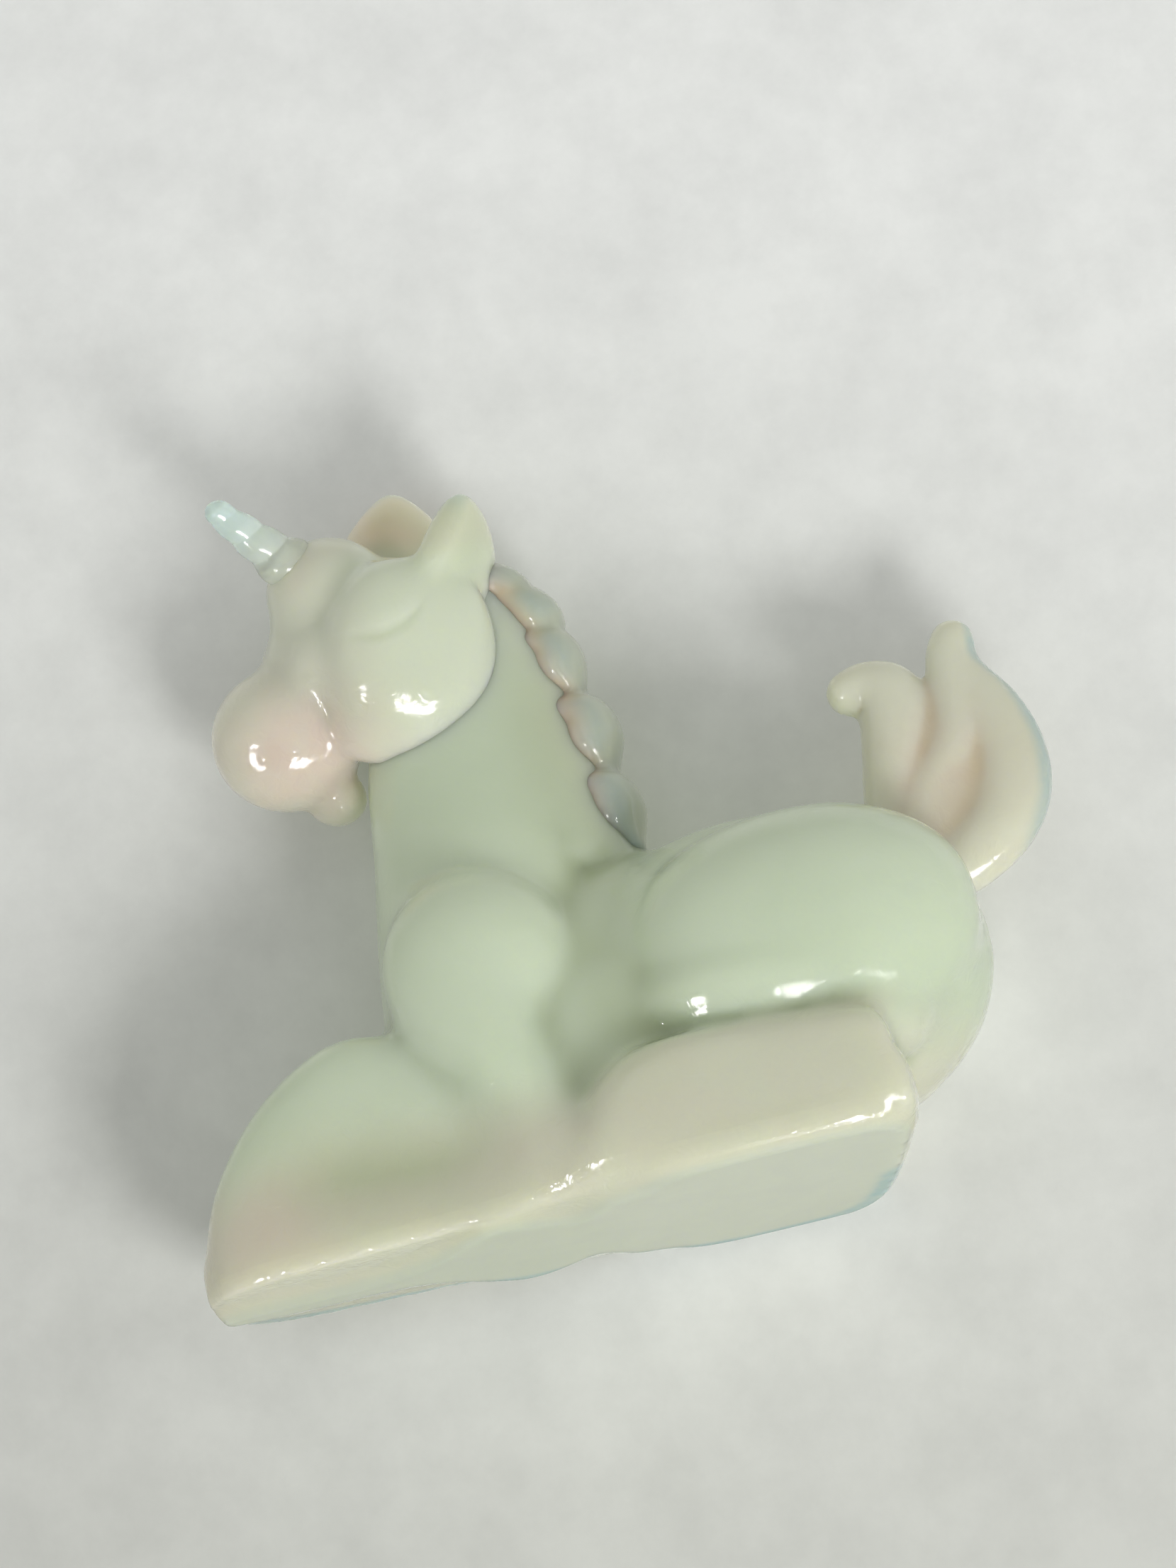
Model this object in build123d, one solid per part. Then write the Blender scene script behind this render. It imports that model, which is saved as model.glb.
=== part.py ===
from build123d import *
import os

# A reclining unicorn ornament, pressed solid in opal glass. It lies on its folded legs, faces -X and
# turns its head towards -Y. +Z is up and the flat foot lies at Z = 0.
# Each sculpted mass is a solid of its own: a smaller mass is trimmed by the larger ones it grows from,
# so that neighbours meet face to face along the crease that the mould leaves between them.
# Lengths are in millimetres, angles in degrees. A table of shares holds fractions of the sizes beside it.

# Rump, the egg that the hind half is built round. The rest is placed from a point below its middle.
rump_length = 38.0
rump_width = 27.0
rump_height = 31.0
rump_lift = 17.0

# Barrel, the trunk from the rump to the chest: (share of its length, of its width, of its height).
barrel_start = 2.0
barrel_length = 27.0
barrel_width = 23.4
barrel_height = 30.5
barrel_lift = 16.2
barrel_section_shares = [(0.0, 0.95, 0.95), (0.35, 1.0, 1.0), (0.7, 0.96, 0.97), (1.0, 0.84, 0.88)]

# Neck and chest, one column that leans back as it rises:
# (share of its rise, offset as a share of its depth, share of its depth, share of its width).
spine_length = 21.5
neck_bottom = 8.0
neck_rise = 52.0
neck_depth = 22.0
neck_width = 21.0
neck_section_shares = [
    (0.0, -0.01, 0.95, 0.92),
    (0.167, -0.012, 0.97, 0.98),
    (0.333, 0.0, 0.94, 0.92),
    (0.5, 0.03, 0.86, 0.75),
    (0.667, 0.05, 0.81, 0.57),
    (0.833, 0.085, 0.64, 0.47),
    (1.0, 0.07, 0.36, 0.34),
]

# Head, turned and tilted towards -Y. Places on it are shares of half its length, width and height.
head_length = 18.0
head_width = 15.0
head_height = 15.0
head_forward = 3.0
head_lift = 57.0
head_turn = 25.0
head_tilt = 24.0

# Brow and nose, which belong to the head's own solid.
brow_length = 11.6
brow_width = 12.0
brow_height = 10.0
brow_place_shares = (-0.6, 0.0, 0.3)
nose_width = 9.6
nose_depth = 8.4

muzzle_length = 12.3
muzzle_width = 12.0
muzzle_height = 12.3
muzzle_place_shares = (-1.13, 0.0, -1.3)

chin_length = 5.2
chin_width = 6.6
chin_height = 4.8
chin_place_shares = (-0.65, 0.0, -2.09)

cheek_length = 15.0
cheek_width = 10.6
cheek_height = 17.2
cheek_place_shares = (-0.06, 0.9, -0.44)

ear_height = 9.2
ear_width = 8.8
ear_thickness = 4.2
ear_place_shares = (0.43, 0.99, 0.72)
ear_splay = 10.0
ear_turn = 37.0

# Horn, a tapered corkscrew with a round tip: its middle wanders round the axis as it rises.
horn_length = 9.2
horn_root_radius = 2.3
horn_tip_radius = 1.0
horn_wander_share = 0.14
horn_turn_count = 2
horn_step_count = 12
horn_place_shares = (-1.0, 0.0, 0.72)
horn_rake = 50.0

# Mane, five locks down the back of the neck:
# (share of the neck's rise, share of the lock's sizes, how far it stands out as a share of its depth).
mane_lock_depth = 6.8
mane_lock_width = 8.4
mane_lock_height = 7.6
mane_lock_shares = [
    (0.9, 0.78, -0.02),
    (0.85, 0.82, 0.06),
    (0.765, 0.85, -0.04),
    (0.629, 1.02, 0.06),
    (0.492, 0.97, 0.16),
]

# Tail, three locks that rise from the back of the rump. A path point is (share of the tail's reach,
# share of its rise, share of that lock's breadth), counted from the root.
tail_root_inset = 5.0
tail_root_lift = 21.0
tail_reach = 12.5
tail_rise = 23.0
tail_thickness = 6.6
tail_tip_share = 0.8
front_lock_breadth = 6.4
front_lock_shares = [
    (-0.168, 0.283, 0.56),
    (-0.128, 0.387, 0.6),
    (0.008, 0.517, 0.86),
    (0.104, 0.635, 1.0),
    (0.128, 0.743, 0.98),
    (0.104, 0.84, 0.72),
]
hook_length = 6.4
hook_height = 4.2
hook_place_shares = (-0.04, 0.85)
curl_breadth = 3.7
curl_place_shares = (-0.176, 0.83)
middle_lock_breadth = 5.2
middle_lock_shares = [
    (-0.06, 0.26, 0.65),
    (0.28, 0.426, 0.84),
    (0.504, 0.561, 0.96),
    (0.56, 0.717, 1.0),
    (0.592, 0.913, 0.83),
]
tip_height = 4.4
rear_lock_breadth = 7.0
rear_lock_shares = [
    (0.224, 0.135, 0.86),
    (0.512, 0.213, 0.98),
    (0.728, 0.326, 1.02),
    (0.792, 0.474, 0.98),
    (0.76, 0.622, 0.87),
    (0.7, 0.757, 0.65),
    (0.65, 0.839, 0.4),
]

# Haunches, the rounded thighs on each side of the rump.
haunch_length = 27.0
haunch_width = 19.2
haunch_height = 22.4
haunch_back = 4.6
haunch_out = 7.1
haunch_lift = 19.0

# Hind legs, folded forward flat along the ground below the haunches.
hind_leg_length = 24.6
hind_leg_height = 8.4
hind_leg_width = 7.0
hind_leg_out = 10.0
hind_leg_back = 9.7
hind_leg_round = 4.4
hind_leg_edge = 2.2

# Shoulders, each with its upper arm in one solid.
shoulder_length = 15.4
shoulder_width = 11.4
shoulder_height = 16.2
shoulder_lift = 22.8
shoulder_out = 7.8
shoulder_forward = 0.8
arm_length = 10.8
arm_width = 10.0
arm_height = 18.0
arm_lift = 12.8
arm_out = 8.6
arm_back = 1.9

# Forelegs, tucked forward side by side under the chest. The side outline runs from the elbow over the
# top of the knee to the toe: (share of the length, share of the height).
foreleg_back = 4.5
foreleg_length = 33.5
foreleg_height = 16.7
foreleg_width = 11.0
foreleg_out = 1.4
foreleg_toe_in = 6.0
foreleg_edge = 4.4
foreleg_outline_shares = [
    (0.0, 0.2),
    (0.08, 0.72),
    (0.3, 0.96),
    (0.52, 1.0),
    (0.7, 0.85),
    (0.83, 0.58),
    (0.94, 0.27),
    (1.0, 0.0),
]

# Base, the foot under the legs. The broad rear pad has a small sloping edge. The front pad flares from a
# waisted foot to a rim under the forelegs: (share of its length, foot half width, rim half width), the
# half widths as shares of half its width, from the rear pad forward.
base_height = 3.0
rear_pad_length = 24.4
rear_pad_width = 34.0
rear_pad_back = 9.4
rear_pad_corner = 4.5
rear_pad_edge = 1.4
front_pad_length = 36.0
front_pad_width = 20.0
front_pad_edge = 2.4
front_pad_shares = [
    (0.0, 0.76, 1.54),
    (0.083, 0.76, 1.43),
    (0.25, 0.94, 1.26),
    (0.36, 0.88, 1.17),
    (0.583, 0.44, 1.04),
    (0.778, 0.5, 0.95),
    (0.917, 0.34, 0.76),
]

# How far a hidden end runs on into its neighbour before it is trimmed.
overrun = 2.0


# An egg of three full sizes, about the origin.
def egg(length, width, height):
    return scale(Sphere(1), by=(length / 2, width / 2, height / 2))


# A flat oval of two full sizes, whose seam always lies on the first axis.
def oval(first, second):
    return scale(Circle(1), by=(first / 2, second / 2, 1))


# A point on the head, from shares of its half sizes.
def on_head(shares, side=1):
    along, out, up = shares
    return Pos(along * head_length / 2, side * out * head_width / 2, up * head_height / 2)


# The piece less the larger masses that it grows from, as one solid.
def trimmed(piece, *larger):
    for mass in larger:
        piece = piece - mass
    return max(piece.solids(), key=lambda solid: solid.volume)


# The rear pad's outline, drawn in all round by an inset.
def rear_outline(inset):
    pad = RectangleRounded(rear_pad_length - 2 * inset, rear_pad_width - 2 * inset, rear_pad_corner - inset)
    return Pos(rear_pad_back - rear_pad_length / 2, 0) * pad


# The front pad's outline through one column of its table, which runs back into the rear pad.
def front_outline(column, inset):
    front_x = rear_pad_back - rear_pad_length
    side = []
    for row_shares in front_pad_shares:
        x = front_x - row_shares[0] * (front_pad_length - inset)
        side.append((x, row_shares[column] * front_pad_width / 2))
    mirrored = [(x, -y) for x, y in reversed(side)]
    edge = Spline(side + [(front_x - front_pad_length + inset, 0)] + mirrored)
    inner_x = front_x + rear_pad_edge + overrun
    close = Polyline(mirrored[-1], (inner_x, mirrored[-1][1]), (inner_x, side[0][1]), side[0])
    return make_face(edge.edges() + close.edges())


# A pad that flares from its foot to its rim and then rises straight to the top of the base.
def make_pad(foot, rim, edge):
    rim = Pos(0, 0, edge) * rim
    return loft([foot, rim], ruled=True) + extrude(rim, base_height - edge)


def make_base():
    rear = make_pad(rear_outline(rear_pad_edge), rear_outline(0), rear_pad_edge)
    front = make_pad(front_outline(1, front_pad_edge), front_outline(2, 0), front_pad_edge)
    return rear + front


def make_barrel():
    sections = []
    for along, wide, high in barrel_section_shares:
        plane = Plane((barrel_start - along * barrel_length, 0, barrel_lift), (0, 1, 0), (1, 0, 0))
        sections.append(plane * oval(wide * barrel_width, high * barrel_height))
    return loft(sections)


def make_neck():
    sections = []
    for up, offset, deep, wide in neck_section_shares:
        place = Pos(offset * neck_depth - spine_length, 0, neck_bottom + up * neck_rise)
        sections.append(place * oval(deep * neck_depth, wide * neck_width))
    return loft(sections)


# The line down the back of the neck, where the mane grows, at a share of the neck's rise.
def neck_back(up):
    pairs = zip(neck_section_shares, neck_section_shares[1:])
    low, high = next(pair for pair in pairs if up <= pair[1][0])
    blend = (up - low[0]) / (high[0] - low[0])
    offset = low[1] + blend * (high[1] - low[1])
    deep = low[2] + blend * (high[2] - low[2])
    return Pos((offset + deep / 2) * neck_depth - spine_length, 0, neck_bottom + up * neck_rise)


def make_head():
    skull = egg(head_length, head_width, head_height)
    brow = on_head(brow_place_shares) * egg(brow_length, brow_width, brow_height)
    start = on_head(brow_place_shares).position
    end = on_head(muzzle_place_shares).position
    root = Plane(start, (0, 1, 0), end - start) * oval(nose_width, nose_depth)
    front = Plane(end, (0, 1, 0), end - start) * oval(nose_width, nose_depth)
    return skull + brow + loft([root, front])


def make_ear(side):
    blade = egg(ear_width, ear_thickness, ear_height)
    return on_head(ear_place_shares, side) * Rot(X=-side * ear_splay) * Rot(Z=-side * ear_turn) * blade


def make_horn():
    sections = []
    for step in range(horn_step_count + 1):
        share = step / horn_step_count
        radius = horn_root_radius + share * (horn_tip_radius - horn_root_radius)
        wander = Pos(horn_wander_share * radius * (1 - share), 0, share * (horn_length - horn_tip_radius))
        sections.append(Rot(Z=share * horn_turn_count * 360) * wander * Circle(radius))
    twist = loft(sections) + Pos(0, 0, horn_length - horn_tip_radius) * Sphere(horn_tip_radius)
    return on_head(horn_place_shares) * Rot(Y=-horn_rake) * Pos(0, 0, -overrun / 2) * twist


# A point on the tail, from shares of its reach and rise.
def on_tail(shares):
    root = rump_length / 2 - tail_root_inset
    return Pos(root + shares[0] * tail_reach, 0, tail_root_lift + shares[1] * tail_rise)


def make_lock(path_shares, breadth):
    path = Spline([on_tail(point_shares).position for point_shares in path_shares])
    sections = []
    for index, point_shares in enumerate(path_shares):
        share = index / (len(path_shares) - 1)
        plane = Plane(path @ share, (0, 1, 0), path % share)
        thick = 1 - share * (1 - tail_tip_share)
        sections.append(plane * oval(thick * tail_thickness, point_shares[2] * breadth))
    return loft(sections)


def make_hind_leg(side):
    outline = Rectangle(hind_leg_length, hind_leg_height, align=(Align.MAX, Align.MIN))
    outline = fillet(outline.vertices().group_by(Axis.Y)[-1], hind_leg_round)
    leg = extrude(Plane.XZ * outline, -side * hind_leg_width)
    outer = leg.faces().sort_by(Axis((0, 0, 0), (0, side, 0)))[-1]
    leg = fillet(outer.edges().sort_by(Axis.Z)[1:], hind_leg_edge)
    return Pos(hind_leg_back, side * hind_leg_out, base_height) * leg


def make_shoulder(side):
    blade = egg(shoulder_length, shoulder_width, shoulder_height)
    blade = Pos(-spine_length - shoulder_forward, side * shoulder_out, shoulder_lift) * blade
    arm = Pos(arm_back - spine_length, side * arm_out, arm_lift) * egg(arm_length, arm_width, arm_height)
    return blade + arm


def make_foreleg(side):
    top = [(-along * foreleg_length, up * foreleg_height) for along, up in foreleg_outline_shares]
    edge = Spline(top)
    outline = make_face(edge.edges() + Polyline(top[-1], (0, 0), top[0]).edges())
    leg = extrude(Plane.XZ * outline, -side * foreleg_width)
    outer = leg.faces().sort_by(Axis((0, 0, 0), (0, side, 0)))[-1]
    leg = fillet(outer.edges().sort_by(Axis.Z)[1:], foreleg_edge)
    place = Pos(foreleg_back - spine_length, side * foreleg_out, base_height)
    leg = place * Rot(Z=side * foreleg_toe_in) * leg
    return split(leg, Plane.XZ, keep=Keep.TOP if side < 0 else Keep.BOTTOM)


# The trunk.
nodes = {}
base = trimmed(make_base())
rump = trimmed(Pos(0, 0, rump_lift) * egg(rump_length, rump_width, rump_height), base)
barrel = trimmed(make_barrel(), base, rump)
neck = trimmed(make_neck(), rump, barrel)
nodes.update(base=base, rump=rump, barrel=barrel, neck=neck)

# The legs, left at -Y and right at +Y.
for name, side in (("left", -1), ("right", 1)):
    haunch = egg(haunch_length, haunch_width, haunch_height)
    haunch = trimmed(Pos(haunch_back, side * haunch_out, haunch_lift) * haunch, rump, barrel)
    hind_leg = trimmed(make_hind_leg(side), rump, barrel, haunch)
    shoulder = trimmed(make_shoulder(side), barrel, neck)
    foreleg = trimmed(make_foreleg(side), barrel, neck, shoulder)
    nodes[name + "_haunch"] = haunch
    nodes[name + "_hind_leg"] = hind_leg
    nodes[name + "_shoulder"] = shoulder
    nodes[name + "_foreleg"] = foreleg

# The head.
head_place = Pos(-spine_length - head_forward, 0, head_lift) * Rot(Z=head_turn) * Rot(X=head_tilt)
head = trimmed(head_place * make_head(), neck)
cheeks = []
for side in (-1, 1):
    cheek = on_head(cheek_place_shares, side) * egg(cheek_length, cheek_width, cheek_height)
    cheeks.append(trimmed(head_place * cheek, head, neck))
muzzle = on_head(muzzle_place_shares) * egg(muzzle_length, muzzle_width, muzzle_height)
muzzle = trimmed(head_place * muzzle, head, *cheeks, neck)
chin = on_head(chin_place_shares) * egg(chin_length, chin_width, chin_height)
chin = trimmed(head_place * chin, head, muzzle, *cheeks, neck)
horn = trimmed(head_place * make_horn(), head)
ears = []
for side in (-1, 1):
    ears.append(trimmed(head_place * make_ear(side), head, *cheeks, neck))
nodes.update(head=head, left_cheek=cheeks[0], right_cheek=cheeks[1], muzzle=muzzle, chin=chin)
nodes.update(horn=horn, left_ear=ears[0], right_ear=ears[1])

# The mane, each lock laid over by the one above it.
laid = [neck, make_barrel(), rump, head] + cheeks + ears
for index, (up, size, stand) in enumerate(mane_lock_shares):
    lock = egg(size * mane_lock_depth, size * mane_lock_width, size * mane_lock_height)
    lock = trimmed(neck_back(up) * Pos(stand * mane_lock_depth, 0, 0) * lock, *laid)
    laid.append(lock)
    nodes["mane_lock_" + str(index + 1)] = lock

# The tail.
haunches = [nodes["left_haunch"], nodes["right_haunch"]]
middle_lock = make_lock(middle_lock_shares, middle_lock_breadth)
tip_breadth = middle_lock_shares[-1][2] * middle_lock_breadth
tip = on_tail(middle_lock_shares[-1]) * egg(tip_breadth, tail_tip_share * tail_thickness, tip_height)
middle_lock = trimmed(middle_lock + tip, rump, *haunches)
front_lock = make_lock(front_lock_shares, front_lock_breadth)
hook = on_tail(hook_place_shares) * egg(hook_length, tail_tip_share * tail_thickness, hook_height)
curl = on_tail(curl_place_shares) * egg(curl_breadth, tail_tip_share * tail_thickness, curl_breadth)
front_lock = trimmed(front_lock + hook + curl, rump, *haunches, middle_lock)
rear_lock = make_lock(rear_lock_shares, rear_lock_breadth)
rear_lock = trimmed(rear_lock, rump, *haunches, middle_lock, front_lock)
nodes.update(tail_lock_front=front_lock, tail_lock_middle=middle_lock, tail_lock_rear=rear_lock)

# The row stands with the middle of its bounding box on the origin and its foot at Z = 0.
bounds = Compound(list(nodes.values())).bounding_box()
middle = bounds.center()
os.makedirs("parts", exist_ok=True)
for name, solid in nodes.items():
    placed = Pos(-middle.X, -middle.Y, -bounds.min.Z) * solid
    export_step(placed, "parts/" + name + ".step")
print(len(nodes), "nodes,", bounds.size, "middle", middle)
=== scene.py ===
import bpy
import numpy as np
from mathutils import Matrix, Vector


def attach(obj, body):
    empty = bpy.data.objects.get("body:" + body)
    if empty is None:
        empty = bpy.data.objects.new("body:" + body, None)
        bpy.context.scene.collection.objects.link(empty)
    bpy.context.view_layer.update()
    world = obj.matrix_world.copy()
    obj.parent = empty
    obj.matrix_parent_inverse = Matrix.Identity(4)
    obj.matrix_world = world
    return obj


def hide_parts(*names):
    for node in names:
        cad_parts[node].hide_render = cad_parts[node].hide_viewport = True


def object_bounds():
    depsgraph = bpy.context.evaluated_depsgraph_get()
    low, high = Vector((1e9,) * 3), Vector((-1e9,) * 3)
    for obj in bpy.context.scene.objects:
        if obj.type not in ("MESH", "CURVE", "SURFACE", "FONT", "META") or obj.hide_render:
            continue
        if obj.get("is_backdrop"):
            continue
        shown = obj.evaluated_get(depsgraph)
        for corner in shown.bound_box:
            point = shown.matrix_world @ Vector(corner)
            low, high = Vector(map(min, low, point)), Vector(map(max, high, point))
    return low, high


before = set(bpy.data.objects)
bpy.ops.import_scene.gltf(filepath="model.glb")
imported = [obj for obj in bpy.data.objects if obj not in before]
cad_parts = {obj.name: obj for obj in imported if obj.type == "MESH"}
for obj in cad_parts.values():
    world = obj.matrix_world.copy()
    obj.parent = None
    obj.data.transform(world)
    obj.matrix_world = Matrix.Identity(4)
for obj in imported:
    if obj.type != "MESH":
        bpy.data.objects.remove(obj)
cadLow, cadHigh = (np.array(corner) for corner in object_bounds())
drawnLength = 78.294  # millimetres, the length that the tables below are drawn to
mm = (cadHigh[0] - cadLow[0]) / drawnLength  # a millimetre of the tables, read off the frame's length
grain = 1.0
print("frame: box of", np.round((cadHigh - cadLow) / mm, 2), "mm")


# Rows of a table joined by a Catmull-Rom curve: each stretch is a cubic through its four nearest rows.
def easeRows(table, count):
    table = np.asarray(table, float)
    t = np.linspace(0, len(table) - 1, count)
    i = np.clip(t.astype(int), 0, len(table) - 2)
    f = (t - i)[:, None]
    padded = np.vstack([2 * table[0] - table[1], table, 2 * table[-1] - table[-2]])
    a, b, c, d = (padded[i + k] for k in range(4))
    return b + 0.5 * f * (c - a + f * (2 * a - 5 * b + 4 * c - d + f * (3 * (b - c) + d - a)))


# A wave raised to a power with its sign kept: a power below one squares a round section off.
def squared(wave, power):
    return np.sign(wave) * np.abs(wave) ** power


# A step from 0 to 1 between two values, with level ends.
def fade(value, start, end):
    t = np.clip((value - start) / (end - start), 0, 1)
    return t * t * (3 - 2 * t)


# A bell round a place: 1 at the middle, falling off over the three reaches.
def bell(points, place, reach):
    return np.exp(-0.5 * np.sum(((points - np.array(place)) / np.array(reach)) ** 2, axis=1))


# Several bells added up, each a row of (weight, place, reach).
def spots(points, table):
    return sum(weight * bell(points, place, reach) for weight, place, reach in table)


# Several areas added up, each a row of a weight and the fades that bound it, all multiplied. A fade is (axis,
# start, end), and a row with no fades lies all over.
def areas(points, table):
    total = np.zeros(len(points))
    for weight, *bounds in table:
        inside = np.full(len(points), weight)
        for axis, start, end in bounds:
            inside = inside * fade(points[:, "xyz".index(axis)], start, end)
        total = total + inside
    return total


# Both sides laid on the near one: the distance from the middle plane, always counted to the near side.
def foldSides(points):
    return np.stack([points[:, 0], -np.abs(points[:, 1]), points[:, 2]], -1)


# The three turns are the plain rotation matrices about their axes.
def turnZ(degrees):
    c, s = np.cos(np.radians(degrees)), np.sin(np.radians(degrees))
    return np.array([[c, -s, 0], [s, c, 0], [0, 0, 1]])


def turnX(degrees):
    c, s = np.cos(np.radians(degrees)), np.sin(np.radians(degrees))
    return np.array([[1, 0, 0], [0, c, -s], [0, s, c]])


def turnY(degrees):
    c, s = np.cos(np.radians(degrees)), np.sin(np.radians(degrees))
    return np.array([[c, 0, s], [0, 1, 0], [-s, 0, c]])


# Rings of points closed round the seam, with a pole at each end.
def closeRings(rings):
    rows, columns = rings.shape[:2]
    r, c = np.meshgrid(np.arange(rows - 1), np.arange(columns), indexing="ij")
    here, beside = r * columns + c, r * columns + (c + 1) % columns
    quads = np.stack([here, beside, beside + columns, here + columns], -1).reshape(-1, 4)
    ring = np.arange(columns)
    after = (ring + 1) % columns
    last = (rows - 1) * columns
    first = np.stack([np.full(columns, rows * columns), after, ring], -1)
    final = np.stack([np.full(columns, rows * columns + 1), last + ring, last + after], -1)
    points = np.vstack([rings.reshape(-1, 3), rings[0].mean(0), rings[-1].mean(0)])
    return points, quads, np.vstack([first, final])


# Egg: latitude and longitude of a ball, each wave raised to a power, stretched to its half sizes.
def eggSurface(place, size, power=1.0):
    rows, columns = 44, 72
    lat = np.linspace(-np.pi / 2, np.pi / 2, rows)[1:-1, None]
    lon = np.linspace(0, 2 * np.pi, columns, endpoint=False)[None]
    flat = squared(np.cos(lat), power)
    ball = np.stack([flat * squared(np.cos(lon), power), flat * squared(np.sin(lon), power),
                     squared(np.sin(lat), power) + 0 * lon], -1)
    return closeRings(ball * np.array(size) / 2 + np.array(place))


# Loft: a squared oval carried along a path. A row is (x, y, z, half size across, half size in the bend's
# plane); across is the Y axis, and the other axis is square to it and to the path. Its ends are domes.
def loftSurface(table, power=1.0, rows=60, columns=64, cap=1.0, upright=False):
    rows = easeRows(table, rows)
    way = np.gradient(rows[:, :3], axis=0)
    if upright:
        way[:, 1:] = 0  # every section stands in a plane square to X
    way /= np.linalg.norm(way, axis=1)[:, None]
    across = np.array([0, 1.0, 0])
    inward = np.cross(way, across)
    inward /= np.linalg.norm(inward, axis=1)[:, None]
    bend = np.radians(np.arange(12, 90, 12))[:, None]  # the domes' rings, in degrees
    small = np.minimum(rows[[0, -1], 3], rows[[0, -1], 4]) * cap
    start = np.hstack([rows[:1, :3] - way[:1] * small[0] * np.sin(bend), rows[:1, 3:] * np.cos(bend)])
    end = np.hstack([rows[-1:, :3] + way[-1:] * small[1] * np.sin(bend), rows[-1:, 3:] * np.cos(bend)])
    inward = np.vstack([np.repeat(inward[:1], len(bend), 0), inward, np.repeat(inward[-1:], len(bend), 0)])
    rows = np.vstack([start[::-1], rows, end])
    v = np.linspace(0, 2 * np.pi, columns, endpoint=False)[None, :, None]
    wide = rows[:, None, 3:4] * squared(np.cos(v), power) * across
    deep = rows[:, None, 4:5] * squared(np.sin(v), power) * inward[:, None]
    return closeRings(rows[:, None, :3] + wide + deep)


# Closed surfaces put together as one mesh, still apart where they cross.
def joinSurfaces(name, surfaces):
    points, faces, start = [], [], 0
    for surface in surfaces:
        points.append(surface[0])
        for group in surface[1:]:
            faces += (group + start).tolist()
        start += len(surface[0])
    mesh = bpy.data.meshes.new(name)
    mesh.from_pydata(np.vstack(points) * mm, [], faces)
    mesh.update()
    return mesh


# The surfaces run into one skin, as molten glass does: a skin of even cells round all of them.
def fuseSurfaces(name, surfaces, cell):
    lump = bpy.data.objects.new(name + "Lump", joinSurfaces(name + "Lump", surfaces))
    bpy.context.scene.collection.objects.link(lump)
    skin = lump.modifiers.new("skin", "REMESH")
    skin.mode = "VOXEL"
    skin.voxel_size = cell * grain * mm
    skin.use_smooth_shade = True
    graph = bpy.context.evaluated_depsgraph_get()
    mesh = bpy.data.meshes.new_from_object(lump.evaluated_get(graph))
    mesh.name = name
    old = lump.data
    bpy.data.objects.remove(lump)
    bpy.data.meshes.remove(old)
    return mesh


def readPoints(mesh):
    points = np.empty(len(mesh.vertices) * 3)
    mesh.vertices.foreach_get("co", points)
    return points.reshape(-1, 3) / mm


def readEdges(mesh):
    edges = np.empty(len(mesh.edges) * 2, int)
    mesh.edges.foreach_get("vertices", edges)
    return edges.reshape(-1, 2)


def readNormals(mesh):
    normals = np.empty(len(mesh.vertices) * 3)
    mesh.vertex_normals.foreach_get("vector", normals)
    return normals.reshape(-1, 3)


def writePoints(mesh, points):
    mesh.vertices.foreach_set("co", (points * mm).ravel())
    mesh.update()


# Softening: in each round every point goes a share of the way to the mean of its neighbours.
def soften(points, edges, rounds, share):
    a, b = edges.T
    count = len(points)
    near = np.bincount(a, minlength=count) + np.bincount(b, minlength=count)
    share = np.broadcast_to(share, count)[:, None]
    for _ in range(max(1, round(rounds / grain ** 2))):
        total = np.stack([np.bincount(a, points[b, k], count) + np.bincount(b, points[a, k], count)
                          for k in range(3)], -1)
        points = points + share * (total / near[:, None] - points)
    return points


# How hollow the skin is: how far a much softened copy lies outside it, in millimetres.
def hollowness(mesh, rounds):
    points = readPoints(mesh)
    soft = soften(points, readEdges(mesh), rounds, 0.5)
    return np.sum((soft - points) * readNormals(mesh), axis=1)


# The masks of the glass, from 0 to 1 at each point; one that isn't given is 0 all over.
def writeMasks(mesh, **masks):
    for name in ("warm", "blush", "crease", "thin", "chill", "seam"):
        values = np.zeros(len(mesh.vertices), np.float32)
        values[:] = np.clip(masks.get(name, 0), 0, 1)
        mesh.attributes.new(name, "FLOAT", "POINT").data.foreach_set("value", values)


def addPiece(name, mesh, material, nodes):
    piece = bpy.data.objects.new(name, mesh)
    bpy.context.scene.collection.objects.link(piece)
    mesh.shade_smooth()
    mesh.materials.clear()
    mesh.materials.append(material)
    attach(piece, "root")
    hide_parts(*nodes)
    print(name + ":", len(mesh.vertices), "points,", len(mesh.polygons), "faces")


# A colour as it shows on a screen, 0 to 255, in the light's own scale.
def tone(red, green, blue):
    shown = np.array([red, green, blue]) / 255
    return (*np.where(shown <= 0.04045, shown / 12.92, ((shown + 0.055) / 1.055) ** 2.4), 1)


# An empty material, with helpers that add a node, join two sockets and stretch a value from one span to
# another.
def startMaterial(name):
    material = bpy.data.materials.new(name)
    material.use_nodes = True
    tree = material.node_tree
    tree.nodes.clear()

    def add(kind, **values):
        node = tree.nodes.new("ShaderNode" + kind)
        for key, value in values.items():
            setattr(node, key, value)
        return node

    def join(start, end):
        tree.links.new(start, end)

    def spread(value, low, high, to=(0.0, 1.0), kind="SMOOTHSTEP"):
        node = add("MapRange", interpolation_type=kind)
        for key, number in zip(("From Min", "From Max", "To Min", "To Max"), (low, high, *to)):
            node.inputs[key].default_value = number
        join(value, node.inputs["Value"])
        return node.outputs[0]

    return material, add, join, spread


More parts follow.
